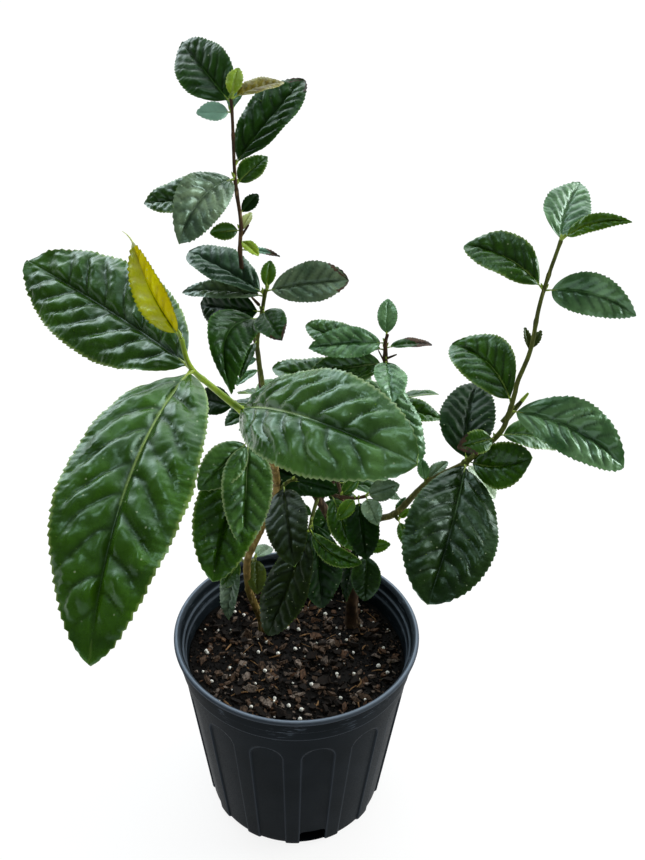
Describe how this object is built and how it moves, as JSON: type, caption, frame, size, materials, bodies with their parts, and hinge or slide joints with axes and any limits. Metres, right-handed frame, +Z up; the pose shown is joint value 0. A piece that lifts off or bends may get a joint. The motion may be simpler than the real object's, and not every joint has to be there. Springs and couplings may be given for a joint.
{
  "type": "potted tea bush",
  "caption": "Young tea bush growing in a round fluted nursery pot filled with bark mix, with thin woody stems, leafy shoots that lean to the front and long pointed leaves.",
  "frame": {"origin": "centre of the pot's flat underside, on the ground", "axes": "+Z up; the plant leans towards -Y, the side that the picture is taken from, and its long side branch grows towards +X"},
  "size_m": [0.2897, 0.3777, 0.5114],
  "materials": {
    "pot_plastic": "near black moulded plastic with a low sheen and faint scuffs",
    "soil_mix": "rough dark brown composted bark with white perlite grains",
    "stem_bark": "matt brown to olive bark with fine ridges and leaf scars",
    "leaves": "waxy dark green upper faces with sunk veins and yellow green undersides"
  },
  "bodies": {
    "root": {"pot": "pot_plastic", "soil": "soil_mix", "main_trunk": "stem_bark", "left_stem": "stem_bark", "top_bough": "stem_bark", "right_bough": "stem_bark", "back_bough": "stem_bark", "foliage_front": "leaves", "foliage_top": "leaves", "foliage_middle": "leaves", "foliage_back": "leaves", "foliage_right": "leaves", "foliage_right_tip": "leaves", "foliage_low_left": "leaves", "foliage_low_middle": "leaves", "foliage_low_centre": "leaves", "foliage_low_right": "leaves", "foliage_low_front": "leaves", "foliage_foot_left": "leaves", "foliage_foot_right": "leaves", "foliage_branch": "leaves", "foliage_bend": "leaves", "foliage_rear_left": "leaves", "foliage_rear_right": "leaves", "foliage_rear_low": "leaves"}
  },
  "joints": []
}
